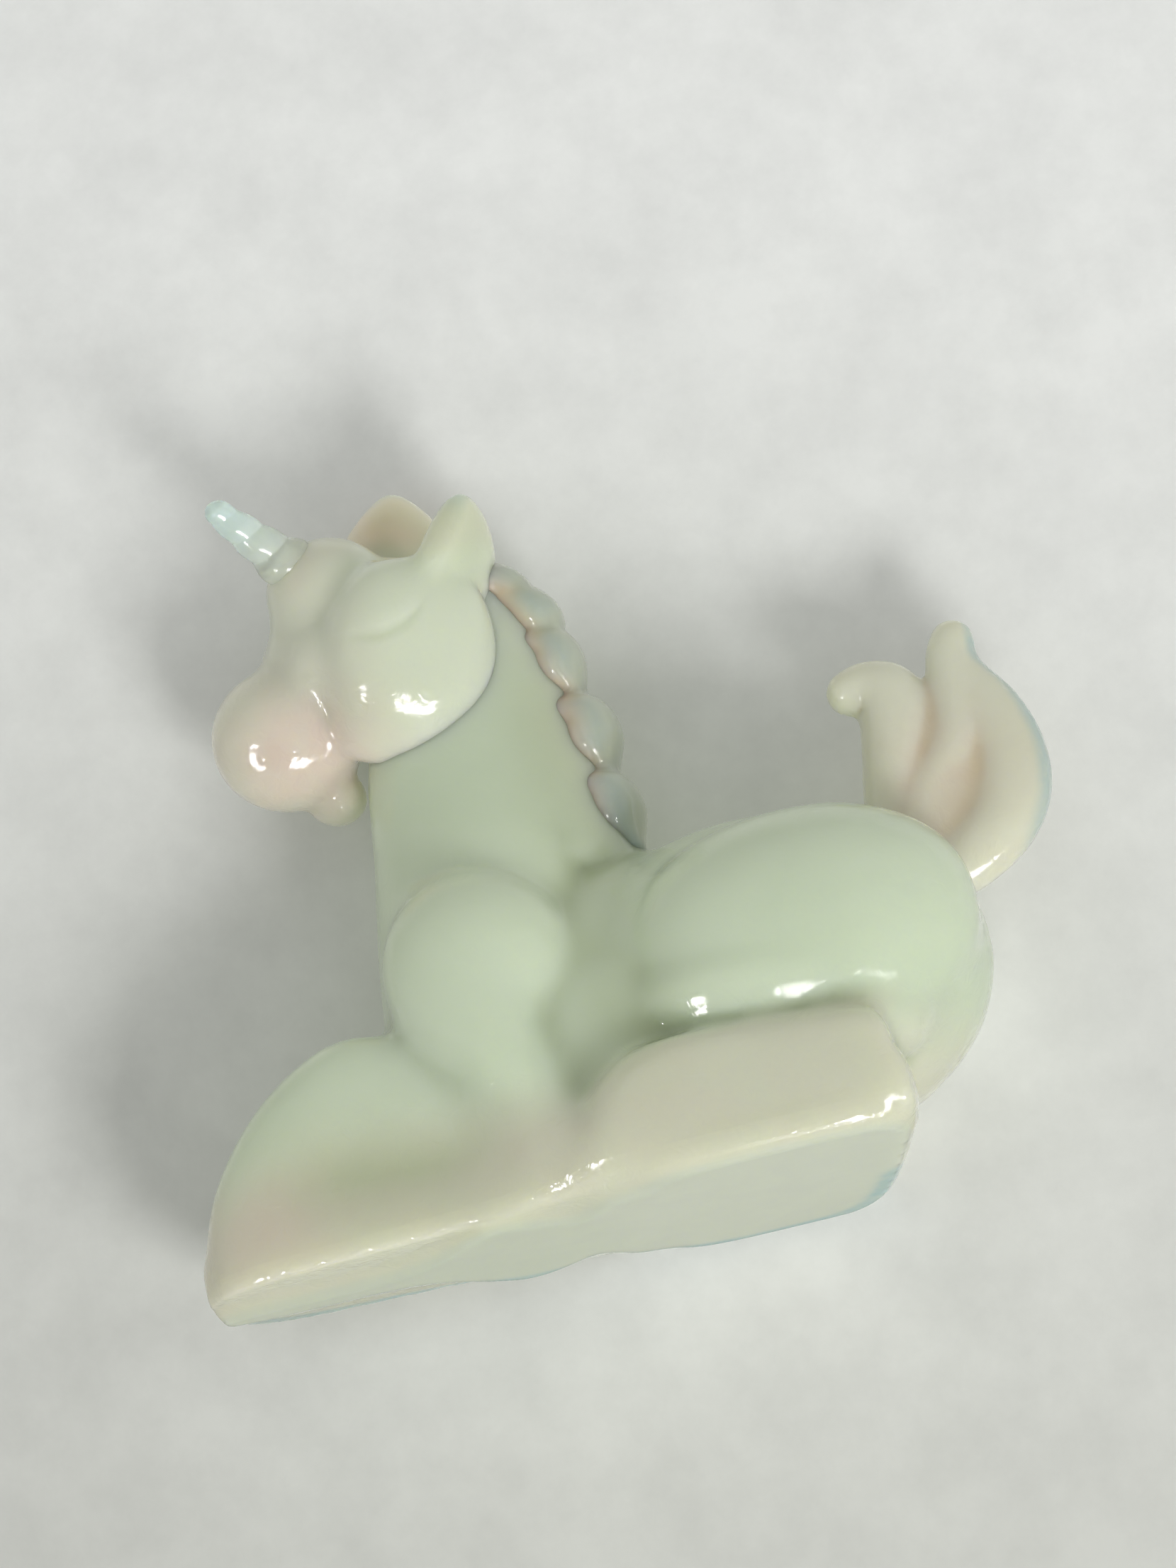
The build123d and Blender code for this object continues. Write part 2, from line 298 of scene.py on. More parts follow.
# Opal glass: cloudy milk glass that lets light run under its skin. Thin rims go blue, creases and shaded
# places get painted shade in the deep colour, and warm and blush carry the cream and the pink that the glass
# took on as it cooled.
def opalGlass(name, look):
    material, add, join, spread = startMaterial(name)
    place = add("TexCoord").outputs["Object"]

    def noise(scale, detail=2.0, warp=0.0):
        node = add("TexNoise")
        node.inputs["Scale"].default_value = scale / mm
        node.inputs["Detail"].default_value = detail
        node.inputs["Distortion"].default_value = warp
        join(place, node.inputs["Vector"])
        return node.outputs["Fac"]

    def mask(label):
        return add("Attribute", attribute_name=label).outputs["Fac"]

    def math(operation, first, second):
        node = add("Math", operation=operation)
        for socket, value in zip(node.inputs, (first, second)):
            if isinstance(value, (int, float)):
                socket.default_value = value
            else:
                join(value, socket)
        return node.outputs[0]

    def blend(factor, first, second):
        node = add("Mix", data_type="RGBA")
        join(factor, node.inputs[0])
        for socket, value in zip((node.inputs[6], node.inputs[7]), (first, second)):
            if isinstance(value, tuple):
                socket.default_value = value
            else:
                join(value, socket)
        return node.outputs[2]

    cloud = noise(look["cloudSize"], *look["cloudKind"])
    wisp = noise(look["cloudSize"] * look["wispScale"], *look["wispKind"])
    colour = blend(spread(cloud, *look["cloudSpan"]), look["milk"], look["cloudy"])
    for label, stainOrShade, low, high, least in look["stainsAndShade"]:  # each lies where its mask is, broken up by noise
        grains = cloud if label == "crease" else wisp
        patches = math("MULTIPLY", mask(label), spread(grains, low, high, (least, 1.0)))
        colour = blend(patches, colour, look[stainOrShade])

    swell = noise(look["swellSize"], look["swellDetail"])
    ripple = noise(look["rippleSize"], *look["rippleKind"])
    waves = math("ADD", swell, math("MULTIPLY", ripple, look["rippleShare"]))
    relief = math("MULTIPLY", waves, mask("chill"))
    bump = add("Bump")
    bump.inputs["Distance"].default_value = look["bumpDepth"] * mm
    join(math("ADD", relief, math("MULTIPLY", mask("seam"), look["seamShare"])), bump.inputs["Height"])

    shader = add("BsdfPrincipled")
    join(colour, shader.inputs["Base Color"])
    join(spread(wisp, *look["dullSpan"], look["roughness"]), shader.inputs["Roughness"])
    join(bump.outputs[0], shader.inputs["Normal"])
    shader.inputs["IOR"].default_value = look["index"]
    shader.inputs["Subsurface Weight"].default_value = look["milkiness"]
    shader.inputs["Subsurface Radius"].default_value = look["glow"]
    shader.inputs["Subsurface Scale"].default_value = look["glowDepth"] * mm
    shader.inputs["Transmission Weight"].default_value = look["clearness"]
    shader.inputs["Coat Weight"].default_value = look["coat"]
    shader.inputs["Coat Roughness"].default_value = look["coatRoughness"]
    join(shader.outputs[0], add("OutputMaterial").inputs["Surface"])
    return material


# A noise's kind is its detail and its warp. A row is (mask, colour, span of the noise, least strength); the
# rows for warm, blush and thin are stains, and the row for creases is painted shade.
opalLook = dict(
    milk=tone(206, 217, 193), cloudy=tone(199, 211, 185), cream=tone(206, 206, 185), pink=tone(208, 196, 180),
    # deep is the colour of painted shade, laid in creases and in shaded places
    deep=tone(172, 184, 142), rim=tone(160, 184, 180),
    cloudSize=0.05, cloudKind=(3.0, 0.6), cloudSpan=(0.3, 0.7), wispScale=3.1, wispKind=(4.0, 1.2),
    stainsAndShade=[("warm", "cream", 0.1, 0.75, 0.75), ("blush", "pink", 0.2, 0.8, 0.55),
            ("crease", "deep", 0.2, 0.8, 0.8), ("thin", "rim", 0.15, 0.7, 0.6)],
    swellSize=0.16, swellDetail=1.0, rippleSize=0.6, rippleKind=(2.0, 1.5), rippleShare=0.24,
    seamShare=0.12, bumpDepth=0.3, dullSpan=(0.2, 0.8), roughness=(0.03, 0.07), index=1.5,
    milkiness=0.9, glow=(1.0, 1.0, 0.7), glowDepth=5.0, clearness=0.0, coat=0.35, coatRoughness=0.03,
)


# Body: trunk, neck, shoulders, haunches, folded legs and base in one skin. An egg has its sizes and the place
# of its middle, on the far side where there are two, and a loft has rows along its path.
bodyShape = dict(
    cell=0.45, evenRounds=6, softRounds=70, hollowRounds=170, caps=dict(barrel=0.4, neck=0.45, crest=0.5),
    rump=(38.0, 27.0, 28.8), rumpPlace=(11.88, 0, 17.0),
    barrel=[(13.9, 0, 16.2, 10.6, 14.2), (4.4, 0, 16.2, 10.4, 14.6), (-5.0, 0, 16.2, 10.2, 14.4),
            (-13.1, 0, 16.2, 10.0, 13.4)],
    neck=[(-9.9, 0, 8.0, 9.7, 10.5), (-9.9, 0, 16.7, 10.3, 10.7), (-9.6, 0, 25.3, 9.7, 10.3),
          (-9.0, 0, 34.0, 7.8, 9.5), (-8.5, 0.3, 42.7, 5.8, 8.9), (-7.8, 0.8, 51.3, 4.9, 7.0),
          (-8.1, 0.8, 58.0, 3.8, 4.8)],
    crest=[(-4.8, 0, 58.0, 2.6, 3.0), (-2.8, 0, 51.5, 3.4, 3.6), (-1.7, 0, 45.0, 4.0, 3.8),
           (-1.0, 0, 38.0, 4.8, 4.2), (-0.7, 0, 31.0, 5.6, 4.6)],
    haunch=(29.4, 19.2, 20.6), haunchPlace=(15.8, 7.1, 19.0), haunchPower=0.92,
    thigh=(25.4, 15.6, 11.0), thighPlace=(13.0, 8.6, 15.2),
    hock=(18.0, 14.0, 9.0), hockPlace=(15.6, 7.6, 10.2),
    belly=(17.0, 12.0, 21.0), bellyPlace=(-0.6, 6.4, 12.0),
    wrist=(11.4, 12.2, 9.6), wristPlace=(-7.0, 8.4, 5.9),
    seat=(11.0, 22.0, 9.6), seatPlace=(14.8, 1.0, 6.6),
    blade=(16.4, 11.6, 16.4), bladePlace=(-11.0, 7.9, 22.6),
    arm=[(-11.8, 8.2, 22.0, 5.4, 7.2), (-11.6, 8.6, 18.0, 5.2, 6.0), (-10.4, 9.0, 14.0, 5.2, 4.4),
         (-9.2, 9.2, 11.0, 4.8, 3.8), (-8.4, 9.2, 8.4, 4.6, 3.6), (-8.0, 9.0, 5.0, 4.6, 3.6)],
    # A leg's rows are (x, top, outer side); the far hind leg ends earlier.
    hindLeg=[(-9.5, 3.6, 12.6), (-6.2, 5.0, 14.8), (-4.2, 7.8, 16.1), (-2.1, 10.3, 16.6), (0.6, 11.4, 16.8),
             (5.0, 11.6, 16.9), (12.8, 11.1, 16.9), (18.4, 10.4, 16.9), (19.8, 9.7, 16.8), (20.5, 8.4, 16.7),
             (20.7, 6.2, 16.6)],
    hindInner=7.0, hindGround=0.8, hindPower=0.5, hindCap=0.35, farShort=3.8, farShortSpan=(4.0, 20.0),
    foreLeg=[(-3.0, 5.6, 15.2), (-6.0, 8.4, 14.2), (-9.5, 10.8, 13.2), (-13.5, 13.8, 12.2),
             (-18.0, 18.2, 11.2), (-23.0, 20.0, 10.5), (-28.2, 18.2, 9.9), (-32.9, 14.6, 9.1),
             (-36.5, 10.0, 7.4), (-38.6, 5.0, 4.4)],
    foreInner=-0.4, foreFloor=2.6, foreLowest=0.9, forePower=0.58, foreCap=0.15,
    # The rear pad is (middle, length, width); the front pad's rows are (x, foot, rim).
    padHeight=3.0, rearPad=(9.2, 24.8, 33.8), rearEdge=1.2, rearSlant=4.6, rearPowers=(0.36, 0.3),
    frontPad=[(1.5, 12.6, 16.4), (-3.1, 12.4, 15.4), (-4.7, 11.8, 14.8), (-6.2, 8.8, 14.2), (-7.6, 7.2, 13.8),
              (-9.2, 8.6, 13.3), (-11.4, 10.6, 12.8), (-14.0, 11.4, 12.1), (-16.6, 8.8, 11.5),
              (-19.2, 5.2, 11.0), (-22.5, 2.4, 10.6), (-27.0, 1.6, 10.0), (-31.4, 1.6, 9.4),
              (-36.2, 1.4, 7.6), (-38.6, 0.8, 4.2)],
    frontEdge=2.4, seamHeight=2.6, seamReach=0.3, leastHeight=0.002,
    # Where the skin is softened: least on the pads, most where shoulder, arm and knee run together, at the
    # rear end, at the nape and in the valleys between the masses.
    padKeep=[(0.6, ("z", 4.2, 2.6))],
    frontSoft=0.32, frontArea=[(1.0, ("x", -1.5, -6.0), ("z", 3.4, 6.5))],
    shoulderSoft=[(0.4, (-18, -9, 26), (4, 8, 7))],
    rearSoft=[(0.9, ("x", 20.0, 25.0), ("z", 9.5, 14.0)), (0.5, ("x", 22.5, 24.0), ("z", 4.0, 6.0))],
    napeSoft=[(0.9, ("x", -6.0, -2.0), ("z", 33.0, 37.0))],
    upperSoft=[(0.04, ("z", 3.6, 7.0))],
    valleys=[(0.2, (10, -15, 11.2), (12, 4, 1.4)), (0.1, (-4.5, -13, 8), (3, 5, 4)),
             (0.8, (-2, -11, 13), (2.6, 6, 6)), (0.9, (-9, -13, 7.5), (4.5, 5, 3.6)),
             (0.5, (-2.5, -15.5, 2.2), (3.5, 4, 1.8))],
    dish=[(1.0, (-25.5, -9, 8.4), (4.8, 5, 3.0)), (0.8, (-17.5, -11, 6.8), (4.8, 5, 2.4))], dishDepth=0.9,
    # Where the glass is stained, and where painted shade darkens it: the shade spots, the dish, the foot's
    # front and the hollows are painted shade; a hollow's or a rim's fade is on how hollow the skin is.
    lowWarm=[(1.0, ("z", 12.5, 5.0))],
    slabWarm=[(1.0, ("y", -11.5, -14.5), ("z", 12.4, 10.2), ("x", -7, -3))],
    blush=[(0.7, (-31, -9, 5.5), (4, 9, 2.6)), (0.5, (-37, 0, 4), (3, 9, 3)),
           (0.3, (-5, -10, 5), (5, 6, 2.6)), (0.45, (1, 0, 44), (3, 5, 9))],
    dishBlush=0.35, dishShade=0.6,
    shade=[(0.25, (-2.5, -6, 38), (3, 5, 10)), (0.25, (-15, -8, 30), (6, 6, 5)),
           (0.35, (0, -4, 42), (2.5, 4, 9)), (0.25, (-0.5, -11, 19), (3, 8, 8)),
           (0.3, (14, -8, 29), (9, 6, 3)), (0.4, (0.5, -12, 14.5), (3, 6, 3.5))],
    footShade=[(0.2, ("z", 1.2, 0.3), ("x", -2, -8))],
    hollowShadeShare=0.6, hollowShadeFade=(0.05, 0.8), shadeShare=0.75,
    farRim=[(1.3, ("y", 0, 4), ("z", 2.6, 1.2))], rimFade=(0.2, 0.6), farFade=(0.05, 0.35),
    footRim=[(0.25, ("z", 0.6, 0.1))],
    chill=[(0.4, ("z", 0.15, 1.0)), (0.6, ("z", 14.5, 11.0), ("z", 0.15, 1.0))],
)


# A leg lying along X: a squared oval between its inner side and outer side, from the ground to its top line.
def legSurface(table, inner, ground, side, power, cap):
    rows = np.array(table, float)
    wide, high = (rows[:, 2] - inner) / 2, (rows[:, 1] - ground) / 2
    path = np.stack([rows[:, 0], side * (inner + wide), ground + high, wide, high], -1)
    return loftSurface(path, power=power, cap=cap, upright=True)


# A leg that stands on the rim: a squared half oval over its floor, widest where it meets the rim.
def domeSurface(table, inner, floor, lowest, side, power, cap):
    rows = np.array(table, float)
    wide, high = (rows[:, 2] - inner) / 2, rows[:, 1] - floor
    path = np.stack([rows[:, 0], side * (inner + wide), floor + 0 * wide, wide, high], -1)
    points, *faces = loftSurface(path, power=power, cap=cap, upright=True)
    points[:, 2] = np.maximum(points[:, 2], lowest)
    return points, *faces


# Rear pad: a squared outline drawn in at the ground, let out to its rim and carried up to the top. Its rear
# end is drawn in by a power of the way across to the far side.
def rearPadSurface(middle, length, width, height, edge, slant, powers):
    v = np.linspace(0, 2 * np.pi, 160, endpoint=False)[None]
    steps = np.array([(-8, 0), (-4, 0), (-edge, 0), (-edge * 0.45, edge * 0.4), (-0.15, edge),
                      (0, edge * 1.35), (0, height - 0.3), (-0.3, height), (-4, height), (-8, height)])
    inset, level = steps[:, :1], steps[:, 1:]
    x = middle + (length / 2 + inset) * squared(np.cos(v), powers[0])
    y = (width / 2 + inset) * squared(np.sin(v), powers[1])
    x = x - slant * (y / width + 0.5) ** 1.6 * fade(x, middle, middle + length / 2)
    return closeRings(np.stack([x, y, level + 0 * v], -1))


# Front pad: at each place along it the outline goes from the foot out to the rim and up to the top.
def frontPadSurface(table, height, edge):
    rows = easeRows(table, 90)
    foot, rim = rows[:, 1:2], rows[:, 2:3]
    half = np.array([(0.0, 0.0, 0.0), (0.5, 0.0, 0.0), (0.94, 0.0, 0.0), (0.8, 0.2, 0.12), (0.5, 0.5, 0.42),
                     (0.15, 0.85, 0.85), (0.0, 1.0, 1.0), (0.0, 1.0, 1.25), (0.0, 0.5, 1.25)])
    y = half[:, 0] * foot + half[:, 1] * rim  # shares of the foot, the rim and the edge's height
    z = np.minimum(half[:, 2] * edge, height) + 0 * y
    y = np.hstack([y, -y[:, :0:-1]])
    z = np.hstack([z, z[:, :0:-1]])
    return closeRings(np.stack([rows[:, :1] + 0 * y, y, z], -1))


def makeBody(shape):
    surfaces = [eggSurface(shape["rumpPlace"], shape["rump"])]
    surfaces += [loftSurface(shape[name], cap=cap) for name, cap in shape["caps"].items()]
    surfaces.append(rearPadSurface(*shape["rearPad"], shape["padHeight"], shape["rearEdge"],
                                   shape["rearSlant"], shape["rearPowers"]))
    surfaces.append(frontPadSurface(shape["frontPad"], shape["padHeight"], shape["frontEdge"]))
    for side in (-1, 1):
        mirror = np.array([1, side, 1])
        hindLeg = np.array(shape["hindLeg"])
        if side > 0:
            hindLeg[:, 0] -= shape["farShort"] * fade(hindLeg[:, 0], *shape["farShortSpan"])
        surfaces.append(eggSurface(shape["haunchPlace"] * mirror, shape["haunch"], shape["haunchPower"]))
        for name in ("thigh", "hock", "belly", "wrist", "seat", "blade"):
            surfaces.append(eggSurface(shape[name + "Place"] * mirror, shape[name]))
        surfaces.append(loftSurface(np.array(shape["arm"]) * np.array([1, side, 1, 1, 1])))
        surfaces.append(legSurface(hindLeg, shape["hindInner"], shape["hindGround"], side,
                                   shape["hindPower"], shape["hindCap"]))
        surfaces.append(domeSurface(shape["foreLeg"], shape["foreInner"], shape["foreFloor"],
                                    shape["foreLowest"], side, shape["forePower"], shape["foreCap"]))
    mesh = fuseSurfaces("bodyCast", surfaces, shape["cell"])

    points, edges = readPoints(mesh), readEdges(mesh)
    points = soften(points, edges, shape["evenRounds"], 0.5 * (1 - areas(points, shape["padKeep"])))
    folded = foldSides(points)
    front = shape["frontSoft"] + spots(folded, shape["shoulderSoft"])
    share = front * areas(folded, shape["frontArea"]) + spots(folded, shape["valleys"])
    for name in ("rearSoft", "napeSoft", "upperSoft"):
        share = share + areas(folded, shape[name])
    points = soften(points, edges, shape["softRounds"], 0.5 * np.clip(share, 0, 1))
    dish = spots(folded, shape["dish"])
    writePoints(mesh, points)
    points = points - readNormals(mesh) * (shape["dishDepth"] * dish)[:, None]
    points[:, 2] = np.maximum(points[:, 2], shape["leastHeight"])
    writePoints(mesh, points)

    hollow = hollowness(mesh, shape["hollowRounds"])
    folded = foldSides(points)
    # painted shade: darker spots where shade falls on the neck and flank, in the knee's dish and at the
    # foot's front
    shade = spots(folded, shape["shade"]) + shape["dishShade"] * dish + areas(points, shape["footShade"])
    rim = np.maximum(fade(-hollow, *shape["rimFade"]), fade(readNormals(mesh)[:, 1], *shape["farFade"]))
    writeMasks(
        mesh,
        warm=np.maximum(areas(points, shape["lowWarm"]), areas(folded, shape["slabWarm"])),
        blush=spots(points, shape["blush"]) + shape["dishBlush"] * dish,
        # painted shade: darker in the hollows and in the shade spots
        crease=shape["hollowShadeShare"] * fade(hollow, *shape["hollowShadeFade"]) + shape["shadeShare"] * shade,
        thin=areas(points, shape["farRim"]) * rim + areas(points, shape["footRim"]),
        chill=areas(points, shape["chill"]),
        seam=np.exp(-((points[:, 2] - shape["seamHeight"]) / shape["seamReach"]) ** 2),
    )
    sides = ("_haunch", "_hind_leg", "_shoulder", "_foreleg")
    nodes = ["base", "rump", "barrel", "neck"] + [side + part for side in ("left", "right") for part in sides]
    addPiece("bodyCast", mesh, opalGlass("bodyOpal", opalLook), nodes)


makeBody(bodyShape)


# Head: skull, brow, nose, cheeks, muzzle, chin and ears in one skin, turned and tilted to the near side.
# Places are on the head before it is turned, with the nose towards lower X.
headShape = dict(
    cell=0.3, evenRounds=7, softRounds=90, hollowRounds=260,
    place=(-12.62, 0, 57.0), turn=25.0, tilt=24.0,
    skull=(18.0, 15.0, 14.0), skullPlace=(0, 0, -2.0),
    brow=(11.0, 12.0, 10.0), browPlace=(-5.1, 0, 2.2),
    nose=[(-5.4, 0, 2.2, 4.8, 4.3), (-6.8, 0, -3.2, 4.8, 4.3), (-9.8, 0, -9.8, 4.8, 4.4)],
    bridge=(8.4, 6.6, 8.4), bridgePlace=(-6.4, 3.8, -3.8),
    muzzle=(13.2, 12.4, 12.6), muzzlePlace=(-9.8, 0, -9.7),
    chin=(5.2, 6.6, 4.8), chinPlace=(-6.1, -0.8, -15.2),
    cheek=(15.0, 10.6, 17.4), cheekPlace=(-0.6, 6.75, -3.3), cheekPower=0.9,
    jaw=(8.0, 8.0, 7.6), jawPlace=(-3.8, 6.0, -8.4),
    lidLine=[(-9.0, -1.2), (-6.4, -0.5), (-4.6, -0.5), (-2.4, 0.3), (-1.0, 1.4), (0.6, 3.4)],
    lidPuff=0.11, lidCut=0.18, lidThick=2.0, lidEdge=0.45, lidOffset=0.5,
    lidArea=[(1.0, ("x", -8.0, -5.0), ("x", 0.2, -2.0), ("y", -6.0, -8.0))],
    ear=[(1.3, 0, -4.5, 1.7, 4.4), (0.9, 0, -1.6, 1.8, 5.4), (-0.4, 0, 0.6, 1.9, 5.2),
         (-1.7, 0, 1.9, 1.8, 4.5)],
    earCap=0.6, earPlace=(3.6, 7.4, 5.0), earTurn=37.0, earSplay=10.0, farEarShift=(-1.0, 0, 0.0),
    earDent=[(0.8, (1.9, -5.6, 6.6), (2.2, 1.4, 2.0))],
    nostril=[(1.0, (-13.2, -4.3, -10.6), (1.2, 1.4, 0.8))], nostrilDepth=0.3, nostrilBlush=0.3,
    noseSoft=[(0.9, (-7.5, -4, -3.5), (3.5, 5, 3.5)), (0.405, (-6.2, -6, -9.5), (2.4, 4, 3.5))],
    topSoft=[(0.3, ("z", -1.0, 3.0), ("x", 4.0, -3.0), ("z", 9.0, 6.0)), (0.05,)],
    warm=[(0.3,), (0.7, ("z", 4.5, 7.0)), (0.35, ("x", -3, -8))],
    blush=[(1.3, (-9.4, -2, -10.8), (5.2, 7, 4.4)), (0.8, (3, 7, 7.5), (5, 3, 4))],  # muzzle and far ear
    browBlush=[(0.4, (-9, -2, 4.5), (2, 3, 2))],
    earShade=[(0.35, (4.5, -8, 6.5), (3, 3, 3))], lidShade=0.15,
    hollowShadeShare=0.45, hollowShadeFade=(0.05, 0.9),
    rim=[(1.0, ("z", 7, 9.5)), (0.3, ("z", -14, -16.5))], rimFade=(0.8, 1.8),  # ears and chin
    chill=[(0.3,), (0.7, ("z", -3, -6))],
    look=dict(opalLook, milk=tone(213, 222, 200), cloudy=tone(207, 216, 194), cream=tone(209, 210, 191),
              pink=tone(216, 200, 187)),
)


def headTurn(shape):
    return turnZ(shape["turn"]) @ turnX(shape["tilt"])


def makeHead(shape):
    surfaces = [
        eggSurface(shape["skullPlace"], shape["skull"]),
        eggSurface(shape["browPlace"], shape["brow"]),
        loftSurface(shape["nose"]),
        eggSurface(shape["muzzlePlace"], shape["muzzle"]),
        eggSurface(shape["chinPlace"], shape["chin"]),
    ]
    for side in (-1, 1):
        mirror = np.array([1, side, 1])
        surfaces.append(eggSurface(shape["cheekPlace"] * mirror, shape["cheek"], shape["cheekPower"]))
        surfaces.append(eggSurface(shape["bridgePlace"] * mirror, shape["bridge"]))
        surfaces.append(eggSurface(shape["jawPlace"] * mirror, shape["jaw"]))
        earTurn = turnX(-side * shape["earSplay"]) @ turnZ(-side * shape["earTurn"])
        points, *faces = loftSurface(shape["ear"], cap=shape["earCap"])
        shift = np.array(shape["farEarShift"]) if side > 0 else 0
        surfaces.append((points @ earTurn.T + shape["earPlace"] * mirror + shift, *faces))
    turn = headTurn(shape)
    surfaces = [(points @ turn.T + np.array(shape["place"]), *faces) for points, *faces in surfaces]
    mesh = fuseSurfaces("headCast", surfaces, shape["cell"])

    def onHead(points):
        return (points - np.array(shape["place"])) @ turn

    points, edges = readPoints(mesh), readEdges(mesh)
    folded = foldSides(onHead(points))
    share = np.clip(spots(folded, shape["noseSoft"]) + areas(folded, shape["topSoft"]), 0, 1)
    points = soften(points, edges, shape["evenRounds"], 0.5)
    points = soften(points, edges, shape["softRounds"], 0.5 * share)
    writePoints(mesh, points)

    # The eye: above the lid's line the skin is puffed out, and just below the line it is cut in.
    local = onHead(points)
    folded = foldSides(local)
    line = np.array(shape["lidLine"])
    rise = folded[:, 2] - np.interp(folded[:, 0], line[:, 0], line[:, 1])
    window = areas(folded, shape["lidArea"])
    above = rise - shape["lidOffset"]
    puff = np.exp(-(above / np.where(above > 0, shape["lidThick"], shape["lidEdge"])) ** 2)
    cut = np.exp(-((rise + shape["lidOffset"]) / shape["lidEdge"]) ** 2)
    nostril = spots(folded, shape["nostril"])
    move = window * (shape["lidPuff"] * puff - shape["lidCut"] * cut)
    move = move - shape["nostrilDepth"] * nostril - spots(folded, shape["earDent"])
    writePoints(mesh, points + readNormals(mesh) * move[:, None])

    hollow = hollowness(mesh, shape["hollowRounds"])
    blush = spots(local, shape["blush"]) + spots(folded, shape["browBlush"])
    # painted shade: darker in the head's hollows, on the far ear and in the cut under the lid
    crease = shape["hollowShadeShare"] * fade(hollow, *shape["hollowShadeFade"]) + spots(local, shape["earShade"])
    writeMasks(
        mesh,
        warm=areas(local, shape["warm"]),
        blush=blush + shape["nostrilBlush"] * nostril,
        crease=crease + shape["lidShade"] * window * cut,
        thin=fade(-hollow, *shape["rimFade"]) * areas(local, shape["rim"]),
        chill=areas(local, shape["chill"]),
    )
    nodes = ["head", "left_cheek", "right_cheek", "muzzle", "chin", "left_ear", "right_ear"]
    addPiece("headCast", mesh, opalGlass("headOpal", shape["look"]), nodes)


makeHead(headShape)


# Horn: a tapered cone wound with one thread; its radius swells and dips once for each turn of the thread, and
# its tip is a half ball.
hornShape = dict(
    root=(-9.0, 0, 5.4), rake=50.0, sink=1.6, length=9.8, rootRadius=2.4, tipRadius=1.05,
    flare=0.35, flareFade=(0.36, 0.1), turns=4.0, thread=0.13, threadPower=1.5, rows=150, columns=72,
    warmShare=0.5, warmFade=(0.4, 0.1), thinFade=(0.3, 0.9),
    look=dict(opalLook, milk=tone(214, 223, 214), cloudy=tone(222, 229, 222), rim=tone(208, 222, 218),
              cloudSize=0.3, swellSize=0.5, bumpDepth=0.12, milkiness=0.5, clearness=0.5,
              roughness=(0.04, 0.1), glowDepth=2.0),
)


def makeHorn(shape):
    u = np.linspace(0, 1, shape["rows"])[:, None]
    v = np.linspace(0, 2 * np.pi, shape["columns"], endpoint=False)[None]
    length, tipRadius = shape["length"], shape["tipRadius"]
    radius = shape["rootRadius"] + u * (tipRadius - shape["rootRadius"])
    radius = radius + shape["flare"] * fade(u, *shape["flareFade"])
    wave = np.mod(v / (2 * np.pi) + shape["turns"] * u, 1)
    radius = radius * (1 - shape["thread"] * np.abs(2 * wave - 1) ** shape["threadPower"])
    tip = np.clip((u * length - (length - tipRadius)) / tipRadius, 0, 0.999)
    radius = radius * np.sqrt(1 - tip ** 2)
    rings = np.stack([radius * np.cos(v), radius * np.sin(v), u * length - shape["sink"] + 0 * v], -1)
    rings = rings @ turnY(-shape["rake"]).T + np.array(shape["root"])
    rings = rings @ headTurn(headShape).T + np.array(headShape["place"])
    mesh = joinSurfaces("hornCast", [closeRings(rings)])
    up = np.append(np.repeat(u, shape["columns"]), [0, 1])
    warm = shape["warmShare"] * fade(up, *shape["warmFade"])
    writeMasks(mesh, warm=warm, thin=fade(up, *shape["thinFade"]), chill=1)
    addPiece("hornCast", mesh, opalGlass("hornOpal", shape["look"]), ["horn"])


makeHorn(hornShape)


# Mane: locks that overlap down the back of the neck, each round above and drawn to a point below.
maneShape = dict(
    cell=0.26, softRounds=7, hollowRounds=150, cap=0.8, rows=40, columns=48,
    locks=[
        [(-4.6, 0, 58.2, 2.4, 1.4), (-3.0, 0, 57.2, 3.2, 1.9), (-1.6, 0, 55.9, 3.2, 1.8),
         (-0.7, 0, 54.6, 2.4, 1.0)],
        [(-2.6, 0, 55.4, 2.8, 1.4), (-0.9, 0, 54.3, 3.6, 2.1), (0.2, 0, 52.6, 3.6, 2.1),
         (1.0, 0, 50.8, 2.4, 0.9)],
        [(-1.4, 0, 51.0, 3.0, 1.4), (0.4, 0, 49.9, 3.9, 2.3), (0.9, 0, 47.6, 3.9, 2.2),
         (1.7, 0, 45.2, 2.4, 0.8)],
        [(-0.6, 0, 44.6, 3.2, 1.6), (1.8, 0, 43.0, 4.4, 2.6), (2.2, 0, 40.4, 4.4, 2.5),
         (2.9, 0, 37.9, 2.6, 0.8)],
        [(-0.2, 0, 37.4, 3.4, 1.6), (2.2, 0, 36.0, 4.8, 2.6), (2.8, 0, 33.6, 4.6, 2.5),
         (3.6, 0, 31.4, 2.8, 1.0)],
    ],
    backLine=[(31, 1.6), (39, 1.4), (45, 1.0), (50, -0.6), (58, -3.0)],  # the neck's back, as height and X
    rootFade=(1.8, -0.6), sideBlush=[(0.95, ("y", -0.8, -2.2))],
    hollowShadeShare=0.5, hollowShadeFade=(0.05, 0.6), rimFade=(0.25, 0.9), chill=0.3,
    look=dict(opalLook, milk=tone(174, 181, 164), cloudy=tone(180, 184, 166), cream=tone(190, 190, 168),
              # deep is the colour of painted shade in the mane's hollows
              pink=tone(200, 178, 156), deep=tone(180, 174, 146), rim=tone(160, 176, 176),
              cloudSize=0.12, glowDepth=4.0),
)


